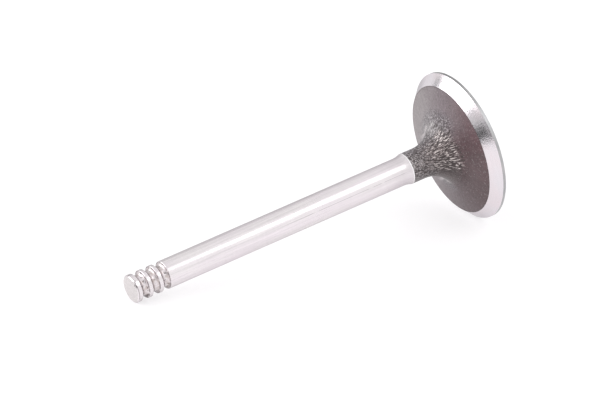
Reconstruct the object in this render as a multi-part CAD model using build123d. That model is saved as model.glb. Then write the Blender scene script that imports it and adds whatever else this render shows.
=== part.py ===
from build123d import *
import math
import os

# An engine poppet valve, forged and then turned and ground as one piece. It stands on its
# head: the origin is the centre of the flat combustion face and +Z runs along the stem to
# the tip. Sizes are in millimetres. Every surface is a ring about Z, so the solid is one
# half-profile revolved, and X in the profile is the radius.

OVERALL_LENGTH = 94.2        # combustion face to stem tip

# Head
HEAD_DIAMETER = 37.2
MARGIN_HEIGHT = 0.85         # the cylindrical rim below the seat
FACE_EDGE_BREAK = 0.15       # chamfer between the combustion face and the margin
SEAT_WIDTH = 2.36            # of the ground sealing cone, measured along the radius
SEAT_ANGLE = 45.0            # of the sealing cone, from the plane of the head
BACK_ANGLE = 12.0            # of the forged back of the head, from the plane of the head

# Ground stem
STEM_DIAMETER = 6.97
STEM_FLARE = 6.4             # radius that the grinding wheel's corner leaves at the neck

# Forged neck, between the back of the head and the ground stem
NECK_STEP = 0.425            # how far the forged skin stands out from the ground stem
NECK_FILLET = 8.4            # sweep from the neck into the back of the head
NECK_TOP = 16.3              # height where grinding of the stem ends

# Keeper grooves and tip
GROOVE_COUNT = 3
GROOVE_PITCH = 2.9
GROOVE_RADIUS = 1.0          # of the round groove's own section
GROOVE_DEPTH = 0.8
GROOVE_EDGE_ROUND = 0.2      # on the edges that the grooves leave
TIP_TO_FIRST_GROOVE = 2.3    # to the middle of the groove
TIP_CHAMFER = 0.3

# Radii and heights that follow from the sizes above
head_radius = HEAD_DIAMETER / 2
stem_radius = STEM_DIAMETER / 2
neck_radius = stem_radius + NECK_STEP
seat_inner_radius = head_radius - SEAT_WIDTH
seat_top = MARGIN_HEIGHT + SEAT_WIDTH * math.tan(math.radians(SEAT_ANGLE))
back_rise = (seat_inner_radius - neck_radius) * math.tan(math.radians(BACK_ANGLE))
flare_height = math.sqrt(2 * STEM_FLARE * NECK_STEP - NECK_STEP**2)
flare_top = NECK_TOP + flare_height


def head_and_neck():
    """From the centre of the combustion face, out round the rim and up the neck."""
    corners = [
        (0, 0),
        (head_radius - FACE_EDGE_BREAK, 0),
        (head_radius, FACE_EDGE_BREAK),
        (head_radius, MARGIN_HEIGHT),
        (seat_inner_radius, seat_top),
        (neck_radius, seat_top + back_rise),
        (neck_radius, NECK_TOP),
    ]
    sharp = 0
    return FilletPolyline(corners, radius=[sharp, sharp, sharp, sharp, NECK_FILLET])


def stem_flare():
    """The arc that leads in from the neck and ends tangent to the ground stem."""
    return RadiusArc((neck_radius, NECK_TOP), (stem_radius, flare_top), STEM_FLARE)


def stem_and_tip():
    """Up the ground stem, over the chamfered tip and back down the axis."""
    return Polyline(
        (stem_radius, flare_top),
        (stem_radius, OVERALL_LENGTH - TIP_CHAMFER),
        (stem_radius - TIP_CHAMFER, OVERALL_LENGTH),
        (0, OVERALL_LENGTH),
        (0, 0),
    )


def keeper_grooves():
    """Round sections that cut into the stem below its tip, one pitch apart."""
    centre_radius = stem_radius - GROOVE_DEPTH + GROOVE_RADIUS
    first_height = OVERALL_LENGTH - TIP_TO_FIRST_GROOVE
    heights = [first_height - n * GROOVE_PITCH for n in range(GROOVE_COUNT)]
    return [Pos(centre_radius, height) * Circle(GROOVE_RADIUS) for height in heights]


def groove_corners(profile):
    """Where the grooves' arcs meet the stem's surface."""
    lowest = OVERALL_LENGTH - TIP_TO_FIRST_GROOVE - GROOVE_COUNT * GROOVE_PITCH
    arcs = profile.edges().filter_by(GeomType.CIRCLE)
    return arcs.filter_by_position(Axis.Y, lowest, OVERALL_LENGTH).vertices()


def valve():
    """The whole valve as one solid of revolution."""
    outline = [head_and_neck(), stem_flare(), stem_and_tip()]
    profile = make_face(outline) - keeper_grooves()
    profile = fillet(groove_corners(profile), GROOVE_EDGE_ROUND)
    return revolve(Plane.XZ * profile, Axis.Z)


os.makedirs("parts", exist_ok=True)
export_step(valve(), "parts/valve.step")
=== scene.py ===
import math

import bpy
import numpy as np
from mathutils import Matrix, Vector, noise


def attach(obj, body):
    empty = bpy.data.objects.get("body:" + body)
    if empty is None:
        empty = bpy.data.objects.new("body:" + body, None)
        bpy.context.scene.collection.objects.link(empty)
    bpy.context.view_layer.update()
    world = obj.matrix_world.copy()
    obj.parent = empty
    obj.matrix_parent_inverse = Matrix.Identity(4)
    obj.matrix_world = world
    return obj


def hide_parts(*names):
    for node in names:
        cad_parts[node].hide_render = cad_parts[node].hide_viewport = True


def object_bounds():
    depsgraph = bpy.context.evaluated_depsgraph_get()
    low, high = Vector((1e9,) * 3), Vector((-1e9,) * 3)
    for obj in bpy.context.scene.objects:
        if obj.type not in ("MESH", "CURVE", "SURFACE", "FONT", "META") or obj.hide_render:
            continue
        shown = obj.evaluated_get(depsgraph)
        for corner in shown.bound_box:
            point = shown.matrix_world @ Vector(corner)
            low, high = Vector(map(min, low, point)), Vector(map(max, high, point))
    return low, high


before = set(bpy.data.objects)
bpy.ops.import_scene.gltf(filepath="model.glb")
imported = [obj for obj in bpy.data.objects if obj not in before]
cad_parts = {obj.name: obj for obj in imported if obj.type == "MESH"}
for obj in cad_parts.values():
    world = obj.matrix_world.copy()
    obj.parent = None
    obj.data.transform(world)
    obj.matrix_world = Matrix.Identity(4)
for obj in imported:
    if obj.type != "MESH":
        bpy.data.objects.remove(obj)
CAD_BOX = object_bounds()

# The valve stands on its head: +Z runs from the combustion face up the stem, and every
# turned surface is a ring about Z. The valve's sizes are in millimetres and are multiplied
# by MM where Blender needs metres. The studio's sizes are in metres.
MM = 0.001

# Turned profile: radii and heights. The overall sizes come from the frame.
head_radius = CAD_BOX[1].x / MM
tip_height = CAD_BOX[1].z / MM
FACE_EDGE_BREAK = 0.15
MARGIN_HEIGHT = 0.85
SEAT_WIDTH = 2.36
BACK_ANGLE = math.radians(12)
NECK_RADIUS = 3.91
NECK_FILLET = 8.4
NECK_TOP = 16.3
STEM_RADIUS = 3.485
STEM_FLARE = 6.4
GROOVE_COUNT = 3
GROOVE_PITCH = 2.9
GROOVE_RADIUS = 1.0
GROOVE_DEPTH = 0.8
GROOVE_EDGE_ROUND = 0.2
TIP_TO_FIRST_GROOVE = 2.3
TIP_CHAMFER = 0.3

# What follows from them. The seat is cut at 45 degrees, so it rises as much as it narrows.
seat_radius = head_radius - SEAT_WIDTH
seat_top = MARGIN_HEIGHT + SEAT_WIDTH
back_corner = seat_top + (seat_radius - NECK_RADIUS) * math.tan(BACK_ANGLE)
fillet_turn = math.pi / 2 - BACK_ANGLE
fillet_tangent = NECK_FILLET * math.tan(fillet_turn / 2)
fillet_centre = (NECK_RADIUS + NECK_FILLET, back_corner + fillet_tangent)
first_groove = tip_height - TIP_TO_FIRST_GROOVE
last_groove = first_groove - (GROOVE_COUNT - 1) * GROOVE_PITCH

# The lathe
TURN_STEPS = 468
SEAT_STEPS = 4
BACK_STEP = 0.3              # spacing of the rings over the back of the head
RELIEF_STEP = 0.14           # and up the neck, where the forged skin is uneven
FLARE_STEPS = 10
GROOVE_STEPS = 14
EDGE_STEPS = 3
MERGE = 0.002 * MM           # points nearer than this are one
SHARP = math.radians(20)     # edges that turn more than this stay crisp


# ---------------------------------------------------------------- modelling

def start_profile(name):
    """A new mesh with one vertex, at the origin, selected in edit mode."""
    bpy.ops.object.select_all(action="DESELECT")
    bpy.ops.mesh.primitive_plane_add(size=MM, location=(0, 0, 0))
    made = bpy.context.object
    made.name = name
    bpy.ops.object.mode_set(mode="EDIT")
    bpy.ops.mesh.select_all(action="SELECT")
    bpy.ops.mesh.merge(type="CENTER")
    return made


def run_to(pen, radius, height, steps=1):
    """Extrudes the profile's end in a straight line and returns the new end."""
    step = ((radius - pen[0]) * MM / steps, 0, (height - pen[1]) * MM / steps)
    for _ in range(steps):
        bpy.ops.mesh.extrude_region_move(TRANSFORM_OT_translate={"value": step})
    return radius, height


def arc_about(pen, centre, turn, steps):
    """Spins the profile's end about a centre, by an angle that is positive from +X to +Z."""
    bpy.ops.mesh.spin(
        steps=steps, angle=turn, center=(centre[0] * MM, 0, centre[1] * MM), axis=(0, 1, 0)
    )
    x, z = pen[0] - centre[0], pen[1] - centre[1]
    c, s = math.cos(turn), math.sin(turn)
    return centre[0] + c * x - s * z, centre[1] + s * x + c * z


def draw_head_and_neck(pen):
    pen = run_to(pen, head_radius - FACE_EDGE_BREAK, 0)
    pen = run_to(pen, head_radius, FACE_EDGE_BREAK)
    pen = run_to(pen, head_radius, MARGIN_HEIGHT)
    pen = run_to(pen, seat_radius, seat_top, SEAT_STEPS)
    fillet_start = (
        NECK_RADIUS + fillet_tangent * math.cos(BACK_ANGLE),
        back_corner - fillet_tangent * math.sin(BACK_ANGLE),
    )
    back_steps = round(math.dist(pen, fillet_start) / BACK_STEP)
    pen = run_to(pen, *fillet_start, back_steps)
    fillet_steps = round(NECK_FILLET * fillet_turn / RELIEF_STEP)
    pen = arc_about(pen, fillet_centre, -fillet_turn, fillet_steps)
    neck_steps = round((NECK_TOP - pen[1]) / RELIEF_STEP)
    return run_to(pen, NECK_RADIUS, NECK_TOP, neck_steps)


def draw_flare(pen):
    """The arc from the neck in to the ground stem."""
    step = NECK_RADIUS - STEM_RADIUS
    rise = math.sqrt(2 * STEM_FLARE * step - step**2)
    centre = (STEM_RADIUS + STEM_FLARE, NECK_TOP + rise)
    return arc_about(pen, centre, -math.asin(rise / STEM_FLARE), FLARE_STEPS)


def draw_groove(pen, middle):
    """One keeper groove, with the small rounds on its edges."""
    centre = (STEM_RADIUS - GROOVE_DEPTH + GROOVE_RADIUS, middle)
    round_radius = STEM_RADIUS - GROOVE_EDGE_ROUND
    reach = GROOVE_RADIUS + GROOVE_EDGE_ROUND
    half = math.sqrt(reach**2 - (centre[0] - round_radius) ** 2)
    lean = math.acos((centre[0] - round_radius) / reach)
    pen = run_to(pen, STEM_RADIUS, middle - half)
    pen = arc_about(pen, (round_radius, middle - half), lean, EDGE_STEPS)
    pen = arc_about(pen, centre, -2 * lean, GROOVE_STEPS)
    return arc_about(pen, (round_radius, middle + half), lean, EDGE_STEPS)


def draw_tip(pen):
    pen = run_to(pen, STEM_RADIUS, tip_height - TIP_CHAMFER)
    pen = run_to(pen, STEM_RADIUS - TIP_CHAMFER, tip_height)
    return run_to(pen, 0, tip_height)


def turn_valve():
    """Draws the half-profile and turns it once round the axis."""
    made = start_profile("valve_body")
    pen = draw_head_and_neck((0, 0))
    pen = draw_flare(pen)
    for number in reversed(range(GROOVE_COUNT)):
        pen = draw_groove(pen, first_groove - number * GROOVE_PITCH)
    draw_tip(pen)
    bpy.ops.object.mode_set(mode="OBJECT")
    bpy.ops.object.transform_apply(location=True, rotation=True, scale=True)
    turning = made.modifiers.new("turning", "SCREW")
    turning.steps = TURN_STEPS
    turning.render_steps = TURN_STEPS
    turning.use_merge_vertices = True
    turning.merge_threshold = MERGE
    bpy.ops.object.modifier_apply(modifier=turning.name)
    bpy.ops.object.mode_set(mode="EDIT")
    bpy.ops.mesh.select_all(action="SELECT")
    bpy.ops.mesh.remove_doubles(threshold=MERGE)
    bpy.ops.mesh.normals_make_consistent(inside=False)
    bpy.ops.object.mode_set(mode="OBJECT")
    bpy.ops.object.shade_smooth_by_angle(angle=SHARP)
    return made


# ---------------------------------------------------------------- forged skin

# A run is a distance over the forged skin, from the seat's inner edge up to the flare.
BACK_RUN = (seat_radius - NECK_RADIUS) / math.cos(BACK_ANGLE) - fillet_tangent
FILLET_RUN = NECK_FILLET * fillet_turn
SKIN_RUN = BACK_RUN + FILLET_RUN + NECK_TOP - fillet_centre[1]

FOLD_SEED = 4
noise.seed_set(FOLD_SEED)    # without it the folds lie elsewhere on each run

# Noise has cells of size 1 and is read on rings round the axis, whose radius is in cells.
FOLD_RING = 42
FOLD_CELLS_PER_MM = 1.1      # along the run, so the folds are long up the neck
FOLD_SWAY = 1.6              # how far the folds wander, in cells
FOLD_SWAY_SCALE = 0.35       # of the noise that moves them
FOLD_CONTRAST = 2.4
GRAIN_RING = 30
GRAIN_CELLS_PER_MM = 3.8
FACING_RING = 2              # these two are coarse, and make the folds' zone uneven
FACING_CELLS_PER_MM = 0.4
START_RING = 3
START_SHIFT = Vector((5, 0, 0))
FOLDS_START = 7.7            # the run where they begin
RELIEF_DEPTH = 0.2           # the most that the skin can be sunk
FOLD_SHARE = 0.17            # of that depth
GRAIN_SHARE = 0.14


def run_along_skin(radius, height):
    """The run at a place on the profile."""
    back = (seat_radius - radius) / math.cos(BACK_ANGLE)
    if back <= BACK_RUN:
        return back
    if height <= fillet_centre[1]:
        turned = math.atan2(fillet_centre[0] - radius, fillet_centre[1] - height)
        return BACK_RUN + NECK_FILLET * (turned - BACK_ANGLE)
    return BACK_RUN + FILLET_RUN + height - fillet_centre[1]


def fade(value, start, end):
    """Goes smoothly from 0 at start to 1 at end."""
    share = min(1, max(0, (value - start) / (end - start)))
    return share * share * (3 - 2 * share)


def on_ring(angle, ring, along):
    """A place in the noise that comes back to itself once round the valve."""
    return Vector((ring * math.cos(angle), ring * math.sin(angle), along))


def fold_height(angle, run):
    """The folds themselves, from -1 in a crease to 1 on a crest."""
    place = on_ring(angle, FOLD_RING, FOLD_CELLS_PER_MM * run)
    place += FOLD_SWAY * noise.noise_vector(FOLD_SWAY_SCALE * place)
    return max(-1, min(1, FOLD_CONTRAST * noise.noise(place)))


def how_folded(angle, run):
    """How far the folds show: over the fillet and most on its +Y and -Y sides, least at -X."""
    to_x, to_y = math.cos(angle), math.sin(angle)
    facing = abs(to_y) + 0.3 * noise.noise(on_ring(angle, FACING_RING, FACING_CELLS_PER_MM * run))
    uneven = noise.noise(on_ring(angle, START_RING, 0) + START_SHIFT)
    start = FOLDS_START + 1.5 * uneven + 1.2 * max(0, to_x)
    folded = fade(run, start - 0.8, start + 2.2) * (1 - 0.65 * fade(run, 14.0, 18.0))
    folded *= 0.25 + 0.75 * fade(facing, 0.25, 0.8)
    return folded * (1 - 0.75 * fade(-to_x, 0.64, 0.9))


def skin_shape(angle, run):
    """The forged skin at one place: its share of the relief's depth, and its height in the
    folds, from -1 to 1."""
    fold = fold_height(angle, run)
    folded = how_folded(angle, run)
    small = noise.noise(on_ring(angle, GRAIN_RING, GRAIN_CELLS_PER_MM * run))
    grain = 0.2 + 0.8 * fade(run, 4, 9)
    edge = fade(run, 0, 1.2) * (1 - fade(run, SKIN_RUN - 0.5, SKIN_RUN))
    depth = FOLD_SHARE * folded * (1 - fold) ** 2 + GRAIN_SHARE * grain * (1 - small)
    return depth * edge, (folded * fold + 0.25 * grain * small) * edge


def on_skin(radius, height):
    edge = 0.001
    return seat_top - edge < height < NECK_TOP + edge and radius < seat_radius + edge


def keep_for_shader(made, name, values):
    """Stores one number for each vertex, under a name that a material can read."""
    made.data.attributes.new(name, "FLOAT", "POINT")
    made.data.attributes[name].data.foreach_set("value", values)


def roughen_skin(made):
    """Sinks the forged skin unevenly, and keeps its folds and its run for the shader."""
    folds, runs = np.zeros((2, len(made.data.vertices)), np.float32)
    group = made.vertex_groups.new(name="relief")
    for vertex in made.data.vertices:
        radius = math.hypot(vertex.co.x, vertex.co.y) / MM
        height = vertex.co.z / MM
        if on_skin(radius, height):
            run = run_along_skin(radius, height)
            depth, fold = skin_shape(math.atan2(vertex.co.y, vertex.co.x), run)
            group.add([vertex.index], depth, "REPLACE")
            folds[vertex.index] = fold
            runs[vertex.index] = run
    keep_for_shader(made, "skin_fold", folds)
    keep_for_shader(made, "skin_run", runs)
    relief = made.modifiers.new("relief", "DISPLACE")
    relief.vertex_group = group.name
    relief.direction = "NORMAL"
    relief.mid_level = 0
    relief.strength = -RELIEF_DEPTH * MM
    bpy.context.view_layer.objects.active = made
    bpy.ops.object.modifier_apply(modifier=relief.name)


valve = turn_valve()
roughen_skin(valve)
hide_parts("valve")
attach(valve, "root")


# ---------------------------------------------------------------- shader tools

class Wire:
    """An output in a node tree. Arithmetic on it adds Math nodes to the same tree."""

    def __init__(self, tree, socket=None):
        self.tree = tree
        self.socket = socket

    def node(self, kind, settings=(), inputs=(), output=0):
        """Adds a node, with its settings made first, and returns one of its outputs."""
        made = self.tree.nodes.new(kind)
        for name, value in dict(settings).items():
            if name == "stops":
                set_stops(made.color_ramp, value)
            else:
                setattr(made, name, value)
        for name, value in dict(inputs).items():
            if isinstance(value, Wire):
                self.tree.links.new(value.socket, made.inputs[name])
            else:
                made.inputs[name].default_value = value
        return Wire(self.tree, made.outputs[output] if made.outputs else None)

    def math(self, operation, a, b=0.0):
        return self.node("ShaderNodeMath", {"operation": operation}, {0: a, 1: b})

    def __add__(self, other):
        return self.math("ADD", self, other)

    def __sub__(self, other):
        return self.math("SUBTRACT", self, other)

    def __rsub__(self, other):
        return self.math("SUBTRACT", other, self)

    def __mul__(self, other):
        return self.math("MULTIPLY", self, other)

    def __truediv__(self, other):
        return self.math("DIVIDE", self, other)

    __radd__ = __add__
    __rmul__ = __mul__


def set_stops(colour_ramp, stops):
    """Gives a colour ramp its stops, as (place, colour) pairs."""
    while len(colour_ramp.elements) < len(stops):
        colour_ramp.elements.new(1.0)
    for element, (place, colour) in zip(colour_ramp.elements, stops):
        element.position = place
        element.color = (*colour, 1.0)


def new_material(name):
    """An empty node tree, and the wire that its nodes start from."""
    material = bpy.data.materials.new(name)
    material.use_nodes = True
    material.node_tree.nodes.clear()
    return material, Wire(material.node_tree)


def finish_material(material, start, **sockets):
    """Joins a Principled shader to the output, its sockets named with _ for a space."""
    inputs = {name.replace("_", " "): value for name, value in sockets.items()}
    surface = start.node("ShaderNodeBsdfPrincipled", inputs=inputs)
    start.node("ShaderNodeOutputMaterial", inputs={"Surface": surface})
    return material


def mix(mask, low, high):
    """A colour that goes from low to high as the mask goes from 0 to 1."""
    # a Mix node has sockets for each kind of value: its colours go in at 6 and 7 and out at 2
    low, high = [c if isinstance(c, Wire) else (*c, 1) for c in (low, high)]
    return mask.node("ShaderNodeMix", {"data_type": "RGBA"}, {0: mask, 6: low, 7: high}, output=2)


def scaled(colour, amount):
    """A colour made lighter or darker."""
    return amount.node("ShaderNodeVectorMath", {"operation": "SCALE"}, {0: colour, "Scale": amount})


def ramp(value, stops):
    return value.node("ShaderNodeValToRGB", {"stops": stops}, {0: value})


def between(value, start, end, low=0.0, high=1.0):
    """Goes smoothly from low to high as the value goes from start to end, in either sense."""
    return value.node(
        "ShaderNodeMapRange",
        {"interpolation_type": "SMOOTHSTEP"},
        {"Value": value, "From Min": start, "From Max": end, "To Min": low, "To Max": high},
    )


def largest(mask, *others):
    for other in others:
        mask = mask.math("MAXIMUM", mask, other)
    return mask


def stretched(place, x, y, z):
    """The place with each axis scaled, so that noise on it is drawn out."""
    return place.node("ShaderNodeVectorMath", {"operation": "MULTIPLY"}, {0: place, 1: (x, y, z)})


def noise_on(place, scale=1.0, detail=2.0, roughness=0.5):
    return place.node(
        "ShaderNodeTexNoise",
        inputs={"Vector": place, "Scale": scale, "Detail": detail, "Roughness": roughness},
    )


def attribute(start, name):
    return start.node(
        "ShaderNodeAttribute", {"attribute_type": "GEOMETRY", "attribute_name": name}, output="Fac"
    )


def place_in_mm(start):
    """The place on the valve in millimetres, and its three parts."""
    place = start.node("ShaderNodeTexCoord", output="Object")
    place = stretched(place, 1 / MM, 1 / MM, 1 / MM)
    parts = [place.node("ShaderNodeSeparateXYZ", inputs={0: place}, output=axis) for axis in "XYZ"]
    return place, parts


def from_axis(x, y):
    """The distance from the valve's axis."""
    squared = x * x + y * y
    return squared.math("SQRT", squared)


def bumped(height, depth, normal=None):
    """A normal that follows a height from 0 to 1, at a depth in millimetres."""
    inputs = {"Height": height, "Distance": depth * MM, "Strength": 1.0}
    if normal is not None:
        inputs["Normal"] = normal
    return height.node("ShaderNodeBump", inputs=inputs)


# ---------------------------------------------------------------- stem and tip

# Ground steel reflects a little less just short of edge-on.
STEM_EDGE = (0.68, 0.67, 0.68, 1.0)
SEAT_EDGE = (0.76, 0.75, 0.76, 1.0)

STEM_ROSE = (0.80, 0.745, 0.775)
STEM_GREY = (0.81, 0.77, 0.78)
TIP_STEEL = (0.80, 0.765, 0.76)
# painted highlight for the ring just above the neck
PAINTED_LIP_HIGHLIGHT = (0.97, 0.95, 0.96)
PAINTED_WALL_HIGHLIGHT = (0.99, 0.95, 0.96)
BROWN_RESIDUE = (0.50, 0.42, 0.39)
KNOCKS_AND_SHADE = (0.09, 0.065, 0.065)

HAIRLINE_ANGLE = math.radians(14)    # from the -Y side towards -X


def hairline(place, x, y, z):
    """One fine scratch along the lower half of the stem, broken here and there."""
    c, s = math.cos(HAIRLINE_ANGLE), math.sin(HAIRLINE_ANGLE)
    across = x * c - y * s
    facing = between(x * -s - y * c, 2.5, 3.0)
    line = between(across.math("ABSOLUTE", across), 0.10, 0.02) * facing
    line = line * between(noise_on(stretched(place, 0.2, 0.2, 0.3)), 0.32, 0.42)
    return line * between(z, 17.5, 19.0) * between(z, 56.0, 48.0)


def groove_marks(place, x, y, z, radius):
    """Masks for what the turned grooves show: brown residue, dark knocks mixed with painted
    shade, and a painted highlight on one wall.
    """
    grooved = between(z, last_groove - 2.1, last_groove - 1.6)
    below_surface = between(radius, STEM_RADIUS - 0.08, STEM_RADIUS - 0.5)
    short_of_tip = between(z, tip_height - 0.4, tip_height - 0.9)
    in_groove = below_surface * grooved * short_of_tip
    residue = between(noise_on(place, scale=1.2, detail=3.0), 0.38, 0.68, 0.12, 0.7)
    # the place in a pitch goes from 0 to 1, with the middle of its groove at 0.5
    in_pitch = z.math("FRACT", (z - first_groove) / GROOVE_PITCH + 0.5)
    # painted shade: a dark band on the head-side wall of each groove
    wall = between(in_pitch, 0.150, 0.175) * between(in_pitch, 0.235, 0.195) * grooved
    wall = wall * between(noise_on(place, scale=0.9), 0.34, 0.52)
    # painted shade: the grooves darker on their -X side, towards the floor
    under = in_groove * between(x, -2.45, -2.72)
    under = under * between(z, first_groove - 3.6, first_groove - 1.0, 0.35, 0.8)
    on_collar = between(z, tip_height - 0.75, tip_height - 0.45)
    on_collar = on_collar * between(x, -1.2, -0.2) * between(x, 2.4, 1.2)
    on_collar = on_collar * between(y, 0, -1) * between(radius, 2.5, 2.8)
    marks = noise_on(stretched(place, 1.4, 1.4, 0.9), detail=3.0, roughness=0.6)
    knocks = (in_groove * 0.9 + on_collar) * between(marks, 0.56, 0.64)
    knocks_and_shade = largest(wall * 0.65, under, knocks * 0.75)
    # painted highlight: the tip-side wall of each groove is lighter
    bright = between(in_pitch, 0.70, 0.80) * between(radius, STEM_RADIUS, STEM_RADIUS - 0.04)
    return in_groove * residue, knocks_and_shade, bright * grooved


def ground_steel():
    """The stem and tip: bright, ground round the axis, with faint handling marks."""
    material, start = new_material("ground_steel")
    place, (x, y, z) = place_in_mm(start)
    rings = noise_on(stretched(place, 0.2, 0.2, 1.6), detail=3.0, roughness=0.6)
    cloud = noise_on(stretched(place, 0.45, 0.45, 0.07), detail=3.0)
    streaks = noise_on(stretched(place, 2.6, 2.6, 0.06), detail=3.0, roughness=0.6)
    # painted shade: the stem darkens towards the neck
    shade_near_neck = between(z, 26.0, 17.0)
    tone = 0.90 + 0.08 * rings + 0.12 * between(streaks, 0.3, 0.7)
    tone = tone - 0.30 * hairline(place, x, y, z) - 0.09 * shade_near_neck
    residue, knocks_and_shade, wall_highlight = groove_marks(place, x, y, z, from_axis(x, y))
    on_tip = between(z, tip_height - 0.05, tip_height)
    # painted highlight: a narrow bright ring on the stem just above the neck
    lip_highlight = between(z, NECK_TOP + 0.25, NECK_TOP + 0.1)
    colour = mix(between(cloud, 0.35, 0.7), STEM_ROSE, STEM_GREY)
    colour = mix(on_tip, colour, TIP_STEEL)
    colour = scaled(colour, tone)
    colour = mix(residue, colour, BROWN_RESIDUE)
    colour = mix(wall_highlight * 0.9, colour, PAINTED_WALL_HIGHLIGHT)
    colour = mix(knocks_and_shade, colour, KNOCKS_AND_SHADE)
    colour = mix(lip_highlight, colour, PAINTED_LIP_HIGHLIGHT)
    worn_smooth = between(z, 20.0, 55.0)
    roughness = 0.28 + 0.05 * rings + 0.04 * cloud + 0.1 * residue - 0.07 * worn_smooth
    return finish_material(
        material, start,
        Base_Color=colour, Metallic=1.0, Roughness=roughness, Specular_Tint=STEM_EDGE,
        Normal=bumped(rings, 0.002, bumped(streaks, 0.003)),
    )


# ---------------------------------------------------------------- seat, margin and face

SEAT_ROSE = (0.80, 0.735, 0.765)
SEAT_GREY = (0.79, 0.75, 0.785)
TURNED_DARK = (0.40, 0.40, 0.41)
TURNED_LIGHT = (0.48, 0.475, 0.48)


def ground_seat():
    """The sealing cone: the finest finish, with a mottle from lapping."""
    material, start = new_material("ground_seat")
    place, (x, y, _) = place_in_mm(start)
    radius = from_axis(x, y)
    mottle = noise_on(place, scale=2.3, detail=4.0, roughness=0.65)
    rings = noise_on(stretched(place, 0.3, 0.3, 5.0), detail=2.0)
    colour = mix(between(noise_on(place, scale=0.2), 0.35, 0.65), SEAT_ROSE, SEAT_GREY)
    colour = scaled(colour, 0.93 + 0.08 * rings)
    # the outer part of the cone is duller on the +X side
    dull = between(radius, 17.5, 18.3) * between(x / radius, -0.12, 0.08)
    return finish_material(
        material, start,
        Base_Color=colour, Metallic=1.0, Roughness=0.10 + 0.06 * mottle + 0.12 * dull,
        Specular_Tint=SEAT_EDGE, Normal=bumped(mottle, 0.032),
    )


def turned_steel():
    """The margin and the combustion face: duller, with the tool's rings."""
    material, start = new_material("turned_steel")
    place, (x, y, z) = place_in_mm(start)
    radius = from_axis(x, y)
    across_rings = radius * 3.0 + z * 5.0
    rings = start.node(
        "ShaderNodeTexNoise",
        {"noise_dimensions": "1D"},
        {"W": across_rings, "Scale": 1.0, "Detail": 3.0},
    )
    cloud = noise_on(place, scale=0.35, detail=3.0)
    on_margin = between(radius, head_radius - 0.3, head_radius - 0.1)
    # the margin is darker on its +X side
    margin_dark_side = on_margin * between(x / radius, 0.6, 0.8)
    colour = mix(between(cloud, 0.3, 0.7), TURNED_DARK, TURNED_LIGHT)
    colour = scaled(colour, 1.0 - 0.3 * margin_dark_side)
    return finish_material(
        material, start,
        Base_Color=colour, Metallic=1.0, Roughness=0.32 + 0.12 * rings,
        Normal=bumped(rings, 0.006),
    )


# ---------------------------------------------------------------- head and neck

# The scale is thickest and brownest on one side, at the start of each ramp, and thins out
# towards the other side. On the back the ramp is partly painted shade, darker towards its
# start. Up the neck, a narrow band near the start is a painted highlight.
SCALE_AND_SHADE_ANGLE = math.radians(50)    # from +X towards +Y
BACK_SCALE_AND_SHADE = (
    (0.0, (0.106, 0.052, 0.059)),
    (0.18, (0.160, 0.096, 0.108)),
    (0.4, (0.225, 0.165, 0.182)),
    (0.6, (0.240, 0.187, 0.208)),
    (1.0, (0.395, 0.352, 0.362)),
)
FOLD_SCALE = (
    (0.0, (0.075, 0.052, 0.052)),
    (0.14, (0.170, 0.125, 0.125)),
    (0.9, (0.140, 0.118, 0.123)),
)
NECK_SCALE_AND_HIGHLIGHT = (
    (0.0, (0.25, 0.22, 0.225)),
    (0.02, (0.48, 0.43, 0.44)),
    (0.12, (0.53, 0.48, 0.49)),
    (0.33, (0.138, 0.123, 0.128)),
    (1.0, (0.19, 0.18, 0.185)),
)
RED_SCALE = (0.165, 0.065, 0.078)
RIM_SCALE = (0.045, 0.025, 0.028)
GREY_SCALE = (0.155, 0.140, 0.172)
SAND_PIT = (0.035, 0.028, 0.029)
SAND_CREST = (0.60, 0.56, 0.575)
PALE_DOT = (0.50, 0.45, 0.46)
DARK_DOT = (0.045, 0.03, 0.032)
PALE_STREAK = (0.95, 0.90, 0.91)
DARK_STREAK = (0.16, 0.14, 0.14)
PAINTED_HIGHLIGHT = (0.80, 0.73, 0.74)
SCRATCH = (0.50, 0.46, 0.47)
PALE_SPECK = (0.30, 0.265, 0.27)
DARK_SPECK = (0.035, 0.028, 0.028)
CREASE = (0.030, 0.015, 0.014)
WORN_CREST = (0.51, 0.43, 0.425)
GLINT = (0.74, 0.665, 0.65)

# Scrapes run along the skin: their noise is read on a ring, as the folds' is.
SCRAPE_RING = 16.0
SCRAPE_CELLS_PER_MM = 0.3


def painted_highlight_arcs(run, to_y):
    """Two short arcs of painted highlight low in the fillet, bent down towards the rim on the +Y
    side.
    """
    bend = between(to_y, 0.58, 0.99)
    reach = run + bend * bend * 6.0
    arcs = between(to_y, 0.15, 0.55) * between(to_y, 0.93, 0.80)
    return arcs * between(reach, 7.9, 8.8) * between(reach, 10.5, 9.5)


def scale_colour(run, side, to_y, patches, scrapes):
    """The scale under its marks: brown on the back of the head, darker on the folds."""
    on_rim = between(run, 0.4, 0.1)
    reddened = between(run, 4.6, 1.0) * between(to_y, -0.6, -0.98) * between(patches, 0.36, 0.56)
    # the ramps by side are partly painted shade on the back and a painted highlight up the neck
    colour = mix(reddened * 0.45, ramp(side, BACK_SCALE_AND_SHADE), RED_SCALE)
    colour = mix(on_rim * 0.5, colour, RIM_SCALE)
    colour = mix(between(run, 7.6, 10.5), colour, ramp(side, FOLD_SCALE))
    colour = mix(between(run, 15.0, 20.3), colour, ramp(side, NECK_SCALE_AND_HIGHLIGHT))
    return scaled(colour, 0.68 + 0.64 * scrapes)


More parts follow.
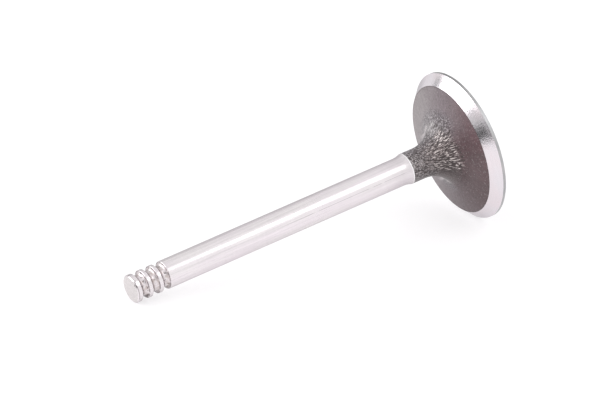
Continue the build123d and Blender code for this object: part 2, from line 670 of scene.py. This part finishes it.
def forged_skin():
    """Scale on the neck and the back of the head, dark in its creases and rubbed bright on its
    crests, with painted highlights low in the fillet and up the neck."""
    material, start = new_material("forged_skin")
    place, (x, y, _) = place_in_mm(start)
    radius = from_axis(x, y)
    to_x, to_y = x / radius, y / radius
    run = attribute(start, "skin_run")
    fold = attribute(start, "skin_fold")
    along_skin = start.node(
        "ShaderNodeCombineXYZ",
        inputs={0: to_x * SCRAPE_RING, 1: to_y * SCRAPE_RING, 2: run * SCRAPE_CELLS_PER_MM},
    )
    patches = noise_on(place, scale=0.17, detail=3.0, roughness=0.55)
    specks = noise_on(place, scale=1.7, detail=4.0, roughness=0.7)
    grain = noise_on(place, scale=4.0, detail=3.0, roughness=0.6)
    sand = noise_on(place, scale=2.7, detail=2.0, roughness=0.6)
    scrapes = noise_on(along_skin, detail=4.0, roughness=0.65)
    scratches = noise_on(stretched(along_skin, 4.5, 4.5, 1.6), detail=1.0)
    c, s = math.cos(SCALE_AND_SHADE_ANGLE), math.sin(SCALE_AND_SHADE_ANGLE)
    side = (to_x * c + to_y * s) * 0.5 + 0.5 + (patches - 0.5) * 0.3
    colour = scale_colour(run, side, to_y, patches, scrapes)
    # a sandy grain on the side with little scale, and again up the neck
    upper_back = between(run, 4.5, 7.5) * between(side, 0.22, 0.5)
    sandy = largest(upper_back * 0.85, between(run, 12.5, 16.0))
    colour = mix(upper_back * 0.4, colour, GREY_SCALE)
    colour = mix(between(sand, 0.50, 0.41) * sandy * 0.95, colour, SAND_PIT)
    colour = mix(between(sand, 0.53, 0.62) * sandy * 0.9, colour, SAND_CREST)
    colour = mix(between(sand, 0.61, 0.69) * 0.65, colour, PALE_DOT)
    colour = mix(between(sand, 0.38, 0.31) * 0.6, colour, DARK_DOT)
    # scraped streaks on the side with little scale
    streaked = between(run, 7.8, 9.2) * between(run, 12.5, 10.5) * between(side, 0.42, 0.70)
    colour = mix(between(scrapes, 0.47, 0.60) * streaked * 0.8, colour, PALE_STREAK)
    colour = mix(between(scrapes, 0.47, 0.36) * streaked * 0.5, colour, DARK_STREAK)
    # painted highlight: two pale, partly metallic arcs low in the fillet
    painted_highlight = painted_highlight_arcs(run, to_y)
    colour = mix(painted_highlight * 0.8, colour, PAINTED_HIGHLIGHT)
    colour = mix(between(scratches, 0.68, 0.78) * 0.4, colour, SCRATCH)
    colour = mix(between(specks, 0.57, 0.72) * 0.55, colour, PALE_SPECK)
    colour = mix(between(specks, 0.43, 0.28) * 0.65, colour, DARK_SPECK)
    # creases stay dark, and the crests between them are rubbed to bare metal; the highest
    # crests carry a painted glint
    colour = mix(between(fold, 0.08, -0.22) * 0.92, colour, CREASE)
    rubbed = fold + (grain - 0.5) + (specks - 0.5) * 0.6
    worn = between(rubbed, 0.14, 0.64) * 0.8
    colour = mix(worn, colour, WORN_CREST)
    colour = mix(between(rubbed, 0.42, 0.85), colour, GLINT)
    return finish_material(
        material, start,
        Base_Color=colour, Metallic=worn * 0.6 + painted_highlight * 0.5, Roughness=0.34 + 0.16 * specks,
        IOR=1.65, Normal=bumped(specks, 0.04, bumped(sand * sandy, 0.05)),
    )


def finish_at(radius, height):
    """The finish of the face whose middle is here."""
    if height > NECK_TOP:
        return ground_steel
    if height > seat_top - RELIEF_DEPTH and radius < seat_radius:
        return forged_skin
    if height > MARGIN_HEIGHT:
        return ground_seat
    return turned_steel


def dress(made):
    """Gives each turned surface its own finish."""
    finishes = [ground_steel, forged_skin, ground_seat, turned_steel]
    for finish in finishes:
        made.data.materials.append(finish())
    for face in made.data.polygons:
        radius = math.hypot(face.center.x, face.center.y) / MM
        finish = finish_at(radius, face.center.z / MM)
        face.material_index = finishes.index(finish)


dress(valve)


# ---------------------------------------------------------------- studio

# The valve lies on a white floor, on its rim and its tip. A heading is an azimuth, from
# straight away from the camera towards its right, and an elevation above the floor.
FLOOR_UP = Vector((0.8345, -0.5277, -0.1588)).normalized()
FLOOR_SIZE = 0.88
FLOOR_SHIFT = 0.05           # towards the camera
FLOOR_CLEARANCE = 0.02 * MM
FLOOR_GREY = (0.38, 0.38, 0.38, 1)
FLOOR_GLOW = 0.67
FLOOR_GLOW_COLOUR = (1.0, 0.985, 1.0, 1)

CAMERA_PLACE = (0.0031, -1.5071, 0.7382)
CAMERA_TURN = (-0.7164, 0.9836, -2.3787)
CAMERA_LENS = 420
CAMERA_SENSOR = 36
CAMERA_REACH = 20

LAMP_DISTANCE = 1.0
LAMP_CENTRE = Vector((0, 0, 0.045))    # on the axis, about the middle of the valve

# Dimmer patches, as azimuth, elevation, the angles from that heading where the patch starts
# to fade and where it ends, and how dark it is. Bright metal takes its grey tones from them.
SKY_LEVEL = 1.05
SKY_PATCHES = (
    (-8, 18, 8, 36, 0.27),
    (0, 72, 15, 45, 0.10),
    (-143, 7, 4, 12, 0.90),
    (-143, 7, 8, 42, 0.33),
    (-53, 12, 1.5, 5, 0.9),
)
FLOOR_PATCH = (-8, -14, 8, 28, 0.45)


def place_camera():
    camera = bpy.data.objects.new("camera", bpy.data.cameras.new("camera"))
    bpy.context.scene.collection.objects.link(camera)
    camera.location = CAMERA_PLACE
    camera.rotation_euler = CAMERA_TURN
    camera.data.lens = CAMERA_LENS
    camera.data.sensor_width = CAMERA_SENSOR
    camera.data.clip_end = CAMERA_REACH
    bpy.context.scene.camera = camera
    return camera


def floor_frame(camera):
    """Right, away and up over the floor, as the camera sees them."""
    bpy.context.view_layer.update()
    look = camera.matrix_world.to_3x3() @ Vector((0, 0, -1))
    forward = (look - look.dot(FLOOR_UP) * FLOOR_UP).normalized()
    return forward.cross(FLOOR_UP), forward, FLOOR_UP


right, away, up = floor_frame(place_camera())


def heading(azimuth, elevation):
    a, e = math.radians(azimuth), math.radians(elevation)
    return math.cos(e) * (math.sin(a) * right + math.cos(a) * away) + math.sin(e) * up


def patch_in_light(direction, azimuth, elevation, inner, outer, darkness):
    """Goes from 1 down to 1 - darkness within a cone about one heading."""
    towards = tuple(heading(azimuth, elevation))
    near = direction.node(
        "ShaderNodeVectorMath",
        {"operation": "DOT_PRODUCT"},
        {0: direction, 1: towards},
        output="Value",
    )
    edge, core = math.cos(math.radians(outer)), math.cos(math.radians(inner))
    return between(near, edge, core, 1.0, 1.0 - darkness)


def white_floor():
    """Aglow to the camera and in glass, dimmer where metal mirrors it, clear from below."""
    material, start = new_material("white_floor")
    direct, glossy, through = [
        start.node("ShaderNodeLightPath", output=name)
        for name in ("Is Camera Ray", "Is Glossy Ray", "Is Transmission Ray")
    ]
    place = start.node("ShaderNodeNewGeometry", output="Position")
    direction = place.node("ShaderNodeVectorMath", {"operation": "NORMALIZE"}, {0: place})
    mirrored = glossy * patch_in_light(direction, *FLOOR_PATCH)
    strength = largest(direct, through, mirrored) * FLOOR_GLOW
    lit = start.node("ShaderNodeBsdfDiffuse", inputs={"Color": FLOOR_GREY})
    glow = start.node(
        "ShaderNodeEmission", inputs={"Color": FLOOR_GLOW_COLOUR, "Strength": strength}
    )
    both = start.node("ShaderNodeAddShader", inputs={0: lit, 1: glow})
    clear = start.node("ShaderNodeBsdfTransparent")
    behind = start.node("ShaderNodeNewGeometry", output="Backfacing")
    surface = start.node("ShaderNodeMixShader", inputs={0: behind, 1: both, 2: clear})
    start.node("ShaderNodeOutputMaterial", inputs={"Surface": surface})
    return material


def lay_floor():
    """A floor just below the lower of the rim and the tip."""
    side = -(up - up.z * Vector((0, 0, 1))).normalized()
    rim = side * head_radius * MM
    tip = Vector((0, 0, (tip_height - TIP_CHAMFER) * MM)) + side * STEM_RADIUS * MM
    height = min(rim.dot(up), tip.dot(up))
    bpy.ops.mesh.primitive_plane_add(size=FLOOR_SIZE)
    floor = bpy.context.object
    floor.name = "floor"
    floor.data.transform(Matrix((right, away, up)).transposed().to_4x4())
    shift = up * (height - FLOOR_CLEARANCE) - away * FLOOR_SHIFT
    floor.data.transform(Matrix.Translation(shift))
    floor.data.materials.append(white_floor())


def softbox(name, azimuth, elevation, width, height, radiance):
    """A rectangular lamp that faces the valve, and that the camera doesn't see."""
    light = bpy.data.lights.new(name, "AREA")
    light.shape = "RECTANGLE"
    light.size, light.size_y = width, height
    light.energy = radiance * math.pi * width * height    # the power that gives this radiance
    lamp = bpy.data.objects.new(name, light)
    bpy.context.scene.collection.objects.link(lamp)
    towards = heading(azimuth, elevation)
    across = towards.cross(up).normalized()
    top = across.cross(-towards).normalized()
    lamp.matrix_world = Matrix((across, top, towards)).transposed().to_4x4()
    lamp.location = towards * LAMP_DISTANCE + LAMP_CENTRE
    lamp.visible_camera = False


def build_sky():
    """A white surround, plain to the camera and with dim patches for all else."""
    world = bpy.data.worlds.new("studio")
    bpy.context.scene.world = world
    world.use_nodes = True
    world.node_tree.nodes.clear()
    start = Wire(world.node_tree)
    camera_ray = start.node("ShaderNodeLightPath", output="Is Camera Ray")
    direction = start.node("ShaderNodeTexCoord", output="Generated")
    level = SKY_LEVEL
    for patch in SKY_PATCHES:
        level = level * patch_in_light(direction, *patch)
    strength = start.node(
        "ShaderNodeMix", {"data_type": "FLOAT"}, {0: camera_ray, 2: level, 3: 1.0}
    )
    glow = start.node("ShaderNodeBackground", inputs={"Color": (1, 1, 1, 1), "Strength": strength})
    start.node("ShaderNodeOutputWorld", inputs={"Surface": glow})


lay_floor()
build_sky()
softbox("left_softbox", azimuth=-87.5, elevation=33, width=0.96, height=0.5, radiance=2.0)
softbox("right_softbox", azimuth=117, elevation=52, width=0.5, height=0.34, radiance=1.45)

scene = bpy.context.scene
scene.view_settings.view_transform = "Standard"
